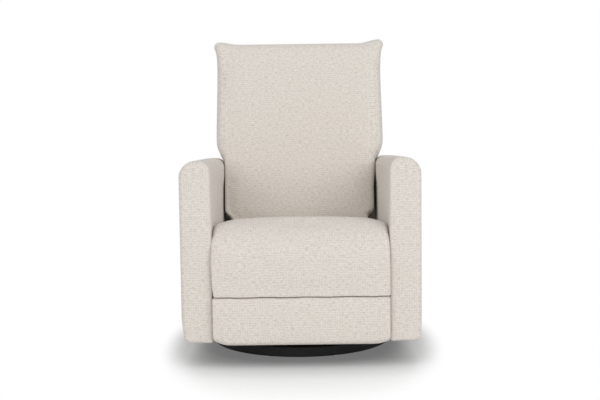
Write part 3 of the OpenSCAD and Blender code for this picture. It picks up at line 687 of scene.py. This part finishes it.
def make_arm(side, fabric):
    """side is 1 for the arm at +x and -1 for the other."""
    top_fall, front_fall, low_slope, lean = ARM_SETTLED[side]
    (x0, y0, z0), (x1, y1, z1) = ARM_LOW, ARM_HIGH
    y0 = y0 - ARM_SWELL
    z1 = z1 - top_fall
    counts = (12, 64, 12, 64)
    loop = box_loop((x0, z0), (x1, z1), [*ARM_LOW_ROUND, *ARM_TOP_ROUND[::-1]], counts)
    n = len(loop)
    low_part = 1 - ease(loop[:, 1], z0, z0 + 0.030)
    radius = ARM_EDGE + (ARM_END - ARM_EDGE) * ease(loop[:, 0], x0, x0 + 0.030) * (1 - 0.5 * low_part)
    points, faces, places = soft_block(loop, counts, np.full(n, y0), np.full(n, y1), radius, MESH_STEP,
                                       crown=0.002, far_radius=np.minimum(radius, ARM_REAR_END))
    x, z, y = points.T
    along = (y - y0) / (y1 - y0)
    height = (z - z0) / (z1 - z0)
    upper = ease(height, 0.8, 1.0)
    into = np.clip(y - (y1 - ARM_REAR_TURN), 0, ARM_REAR_TURN)
    turn = ARM_REAR_TURN - np.sqrt(ARM_REAR_TURN ** 2 - into ** 2)
    z = z - height * (ARM_DROP * along + turn * ease(height, 0.6, 1.0))
    z = z - front_fall * (1 - along) * upper
    z = z - ARM_DOME * (1 - along) * (np.clip(x - x0 - 0.034, 0, None) / 0.068) ** 2 * upper
    behind = ease(along, 0.05, 0.15)
    slope = low_slope * (1 - ease(z, z0, z0 + 0.080)) * (1 - behind)
    hollow = ease(y, -0.25, 0.05) * (1 - ease(x, x0, x0 + 0.04)) * (1 - ease(height, 0.8, 0.9))
    x = x + ARM_HOLLOW * hollow - ease(x, x0 + 0.05, x1) * (slope + lean)
    z = z - ARM_TUCK * behind * (1 - ease(z, z0, z0 + 0.030))
    name = "right" if side > 0 else "left"
    piece = make_mesh("arm_upholstery_" + name, np.column_stack([side * x, y, z]), faces, places)
    slack = ease(height, 0.10, 0.25) * (1 - ease(np.abs(along - 0.5), 0.42, 0.48))
    puff(piece, 1 - 0.8 * slack * ease(x, x0 + 0.02, x0 + 0.05), pressure=1.5, limit=0.003)
    subdivided(piece)
    return dressed(piece, "chair", ["arm_" + name], fabric)


# ---- Seat ----------------------------------------------------------------------------------------

SEAT_LOW = np.array(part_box("seat_cushion")[0])
HINGE = np.array([j["pos_m"] for j in frame["joints"] if j["name"] == "recline"][0])
SEAT_TOP = 0.465
SEAT_HALF = 0.2785
SEAT_BELLY = (-0.385, 0.302)    # y at which the deep front ends, and z of the underside behind it
SEAT_SWING = 0.121              # the seat's rear is hollow around the hinge, so that the back clears it
KNEE = 0.100                    # rounding of the front's top edge
SEAT_FALL = 0.021               # the seat's rear is lower than its knee
SEAT_EDGE = 0.006               # rounding of the sides, and what it gains towards the top
SEAT_EDGE_GAIN = 0.012
SEAT_SWELL = 0.004              # what the seat's padding gains when it is blown up
FRONT_ROOM = 0.004              # how far a swollen front may pass its solid, eased in over FRONT_EASE
FRONT_EASE = 0.008


def seam_wave(x):
    """Slight wander of the seam between seat and footrest."""
    return 0.0007 * np.sin(47 * x + 0.6) + 0.0004 * np.sin(131 * x)


def make_seat(fabric):
    y0 = SEAT_LOW[1] + SEAT_SWELL
    z0, z1 = SEAT_LOW[2], SEAT_TOP - SEAT_SWELL
    belly_y, belly_z = SEAT_BELLY
    rear_low = (HINGE[1] - math.sqrt(SEAT_SWING ** 2 - (HINGE[2] - belly_z) ** 2), belly_z)
    top_angle = math.acos((z1 - SEAT_FALL - HINGE[2]) / SEAT_SWING)
    arc = [
        (HINGE[1] - SEAT_SWING * math.sin(a), HINGE[2] + SEAT_SWING * math.cos(a))
        for a in np.linspace(math.radians(104), top_angle + 0.02, 8)
    ]
    corners = [(y0, z0), (belly_y, z0), (belly_y, belly_z), rear_low] + arc + [(y0, z1)]
    radii = [0.006, 0.008, 0.0, 0.0] + [0.0] * 7 + [0.008] + [KNEE]
    sides = four_sides(rounded(corners, radii), [0, 3, len(corners) - 2, len(corners) - 1])
    counts = (64, 24, 64, 24)
    loop = closed_loop(sides, counts)
    y, z = loop.T
    front = 1 - ease(y, -0.416, -0.408)
    half = SEAT_HALF + 0.0012 * front
    fuller = 0.0025 * ease(z, z0 + 0.05, z0 + 0.12) - 0.0045 * (1 - ease(z, z0, z0 + 0.04))
    half_left = half + front * fuller
    top = ease(z, z1 - 0.16, z1 - 0.05)
    radius = SEAT_EDGE + SEAT_EDGE_GAIN * top * (1 - ease(y, -0.1, 0.05))
    points, faces, places = soft_block(loop, counts, -half_left, half, radius, MESH_STEP)
    y, z, x = points.T
    u = np.clip(np.abs(x) / 0.285, 0, 1)
    up = ease(z, z0, z1)
    z = z - SEAT_FALL * ease(y, -0.36, 0.08) * ease(z, 0.3, 0.46) - (0.006 * u ** 2 + 0.003 * u ** 5) * up
    z = z + 0.003 * (1 - u ** 2) * up + seam_wave(x) * (1 - ease(z, z0, z0 + 0.02))
    piece = make_mesh("seat_upholstery", np.column_stack([x, y, z]), faces, places)
    free = ease(z, z0 + 0.004, z0 + 0.05) * (1 - ease(y, 0.02, 0.06)) * (1 - ease(np.abs(x), 0.262, 0.276))
    puff(piece, 1 - 0.97 * free, pressure=2.0, limit=0.008)
    keep_behind(piece, SEAT_LOW[1] - FRONT_ROOM)
    subdivided(piece)
    return dressed(piece, "chair", ["seat_cushion"], fabric)


def keep_behind(piece, y_low):
    """Keeps a blown-up cover behind y_low."""
    points = coordinates(piece.data)
    points[:, 1] = soft_limit(points[:, 1], y_low, FRONT_EASE)
    set_coordinates(piece.data, points)


# ---- Footrest and rear panel ---------------------------------------------------------------------

FOOT_EDGE = 0.006
FOOT_ROUND = (0.020, 0.004, 0.004, 0.009)   # front low, rear low, rear top, front top
FOOT_RISE = 0.0015              # how far the top comes up to the seat's seam
FOOT_CORNER_LIFT = {-1: 0.017, 1: 0.012}    # lift of the lower corners at -x and +x
FOOT_CORNER_FROM = 0.225
PANEL_EDGE = 0.006
PANEL_ROUND = (0.004, 0.006, 0.006, 0.004)


def make_footrest(fabric):
    low, high = (np.array(c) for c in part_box("footrest_pad"))
    y0 = low[1] + 0.002
    counts = (8, 24, 8, 24)
    loop = box_loop((y0, low[2]), (high[1], high[2] + FOOT_RISE), FOOT_ROUND, counts)
    n = len(loop)
    points, faces, places = soft_block(loop, counts, np.full(n, low[0]), np.full(n, high[0]),
                                       np.full(n, FOOT_EDGE), MESH_STEP)
    y, z, x = points.T
    t = (z - low[2]) / (high[2] - low[2])
    corner = np.clip((np.abs(x) - FOOT_CORNER_FROM) / (high[0] - FOOT_CORNER_FROM), 0, 1) ** 2
    lift = np.where(x < 0, FOOT_CORNER_LIFT[-1], FOOT_CORNER_LIFT[1])
    z = z + lift * corner * (1 - ease(t, 0.0, 0.6)) + seam_wave(x) * ease(t, 0.85, 1.0)
    piece = make_mesh("footrest_upholstery", np.column_stack([x, y, z]), faces, places)
    free = (1 - ease(y, y0 + 0.012, y0 + 0.03)) * ease(t, 0.02, 0.2) * (1 - ease(t, 0.86, 0.99))
    puff(piece, 1 - 0.95 * free * (1 - ease(np.abs(x), 0.262, 0.276)), pressure=3.0, limit=0.010)
    keep_behind(piece, low[1] - FRONT_ROOM)
    subdivided(piece)
    return dressed(piece, "footrest", ["footrest_pad"], fabric)


def make_rear_panel(fabric):
    low, high = (np.array(c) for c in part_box("rear_panel"))
    counts = (4, 22, 4, 22)
    loop = box_loop(low[1:], high[1:], PANEL_ROUND, counts)
    n = len(loop)
    points, faces, places = soft_block(loop, counts, np.full(n, low[0]), np.full(n, high[0]),
                                       np.full(n, PANEL_EDGE), 0.012)
    y, z, x = points.T
    piece = make_mesh("rear_panel_upholstery", np.column_stack([x, y, z]), faces, places)
    subdivided(piece)
    return dressed(piece, "chair", ["rear_panel"], fabric)


# ---- Back ----------------------------------------------------------------------------------------

BACK_LEAN = math.radians(13)
BACK_LEN = 0.745
BACK_HALF = 0.310
EAR_RISE = 0.015                # rise of the top corner at +x, and its share at -x
EAR_SHARE = 0.7
BACK_FRONT = 0.109              # depth of the two pads before and behind their seam
BACK_REAR = 0.116
BACK_START = 0.004              # the pads start this far above the hinge
SEAM_HALF = 0.0005              # half the gap between the two pads
BACK_CROWN = 0.050              # rounding of both top edges
BARREL = 0.128                  # radius in which the rear cover goes around the hinge
BACK_WAIST = 0.2485             # half width inside the mechanism, below the arms' frames
BACK_SWELL = 0.012              # room before the front pad that its swell takes up
CORNER = (0.022, 0.028)         # rounding of the front pad's lower corners at -x and +x
CORNER_AT = (0.108, 0.116)      # where each of them starts
SIDE_GAP = 0.006                # the front pad stands off the arm at +x by this much more
# extra rounding of the face's edges at -x and +x: beside the arms, and what it gains above them
FACE_ROUND = ((0.004, 0.034), (0.022, 0.026))
# half widths of the back at distances along it from the hinge
BACK_SIDE = np.array([
    (-0.200, 0.2485), (0.028, 0.2485), (0.042, 0.2610), (0.060, 0.2695), (0.080, 0.2770), (0.285, 0.2790),
    (0.300, 0.2805), (0.311, 0.2855), (0.322, 0.2935), (0.334, 0.3020), (0.348, 0.3080), (0.365, 0.3108),
    (0.390, 0.3115), (0.450, 0.3105), (0.560, 0.3085), (0.640, 0.3075), (0.675, 0.3080), (0.700, 0.3105),
    (0.722, 0.3165), (0.738, 0.3205), (0.800, 0.3205),
])


def back_half(v):
    """Half width of the back at a distance along it from the hinge."""
    return np.interp(v, BACK_SIDE[:, 0], BACK_SIDE[:, 1])


def front_half(v, side):
    """Half width of the front pad at side 0 for -x or 1 for +x, where its lower corners are rounded."""
    corner = CORNER[side]
    below = np.clip(CORNER_AT[side] - v, 0, corner)
    half = back_half(v) - side * SIDE_GAP * (1 - ease(v, 0.19, 0.27))
    return np.maximum(BACK_WAIST, half - corner + np.sqrt(corner ** 2 - below ** 2))


def on_back(x, d, v):
    """Points given across the back, through its depth and along it, as rows in the chair's frame."""
    c, s = math.cos(BACK_LEAN), math.sin(BACK_LEAN)
    return np.column_stack([x, HINGE[1] + d * c + v * s, HINGE[2] - d * s + v * c])


def from_back(points):
    """The same points back in the back's own frame, as (x, d, v)."""
    c, s = math.cos(BACK_LEAN), math.sin(BACK_LEAN)
    y, z = points[:, 1] - HINGE[1], points[:, 2] - HINGE[2]
    return points[:, 0], y * c - z * s, y * s + z * c


def ear_lift(x, v):
    """Rise of the top edge towards the ears."""
    rise = np.where(x < 0, EAR_RISE * EAR_SHARE, EAR_RISE)
    return rise * ease(np.abs(x), BACK_HALF - 0.085, BACK_HALF - 0.005) * ease(v, BACK_LEN - 0.10, BACK_LEN)


def make_back_front(fabric):
    face_d = -BACK_FRONT + BACK_SWELL
    counts = (14, 84, 14, 84)
    loop = box_loop((face_d, BACK_START), (-SEAM_HALF, BACK_LEN), [0.030, 0.004, 0.003, BACK_CROWN], counts)
    d, v = loop.T
    face = (1 - ease(d, face_d, face_d + 0.05)) * ease(v, 0.02, 0.12) * (1 - ease(v, 0.62, 0.74))
    edge = 0.006 + 0.014 * ease(v, 0.66, BACK_LEN)
    above_arms = ease(v, 0.27, 0.36)
    near, far = (edge + face * (least + gain * above_arms) for least, gain in FACE_ROUND)
    points, faces, places = soft_block(loop, counts, -front_half(v, 0), front_half(v, 1), near, 0.010,
                                       far_radius=far)
    d, v, x = points.T
    ear = ease(np.abs(x), BACK_HALF - 0.05, BACK_HALF) * ease(v, BACK_LEN - 0.06, BACK_LEN - 0.01)
    v = v + ear_lift(x, v)
    piece = make_mesh("back_front_upholstery", on_back(x, d, v), faces, places)
    free = (1 - ease(d, face_d + 0.02, face_d + 0.075)) * ease(v, 0.02, 0.09) * (1 - ease(v, 0.69, BACK_LEN))
    free *= (1 - ear) * (1 - ease(np.abs(x) / back_half(v), 0.90, 0.985))
    puff(piece, 1 - 0.98 * free, pressure=2.0, limit=0.010)
    x, d, v = from_back(coordinates(piece.data))
    d = soft_limit(d, -BACK_FRONT - FRONT_ROOM, 0.010)
    set_coordinates(piece.data, on_back(x, d, v))
    subdivided(piece)
    return dressed(piece, "back", ["back_cushion"], fabric)


def make_back_rear(fabric):
    turns = np.linspace(0.02, math.pi / 2, 14)
    barrel = [(BARREL * math.sin(a), -BARREL * math.cos(a)) for a in turns]
    start = [(SEAM_HALF, BACK_START), (SEAM_HALF, -BARREL + 0.002)]
    corners = start + barrel + [(BACK_REAR, BACK_LEN), (SEAM_HALF, BACK_LEN)]
    radii = [0.0, 0.004] + [0.0] * len(turns) + [BACK_CROWN, 0.003]
    sides = four_sides(rounded(corners, radii), [1, 8, len(corners) - 2, len(corners) - 1])
    counts = (20, 76, 20, 76)
    loop = closed_loop(sides, counts)
    d, v = loop.T
    half = back_half(v)
    radius = 0.006 + 0.020 * ease(d, BACK_REAR - 0.05, BACK_REAR)
    points, faces, places = soft_block(loop, counts, -half, half, radius, 0.012)
    d, v, x = points.T
    v = v + ear_lift(x, v)
    piece = make_mesh("back_rear_upholstery", on_back(x, d, v), faces, places)
    subdivided(piece)
    return dressed(piece, "back", ["back_cover"], fabric)


# ---- The chair -----------------------------------------------------------------------------------

add_camera()
stage_floor()
world_light(0.57)
soft_lamp("key", (5.8, -7.8, 4.4), (0, -0.1, 0.6), 365)
soft_lamp("fill", (-5.2, -9.0, 4.0), (0, -0.1, 0.5), 290)

fabric = weave_fabric()
finish_hardware()
make_arm(1, fabric)
make_arm(-1, fabric)
make_seat(fabric)
make_footrest(fabric)
make_rear_panel(fabric)
make_back_front(fabric)
make_back_rear(fabric)
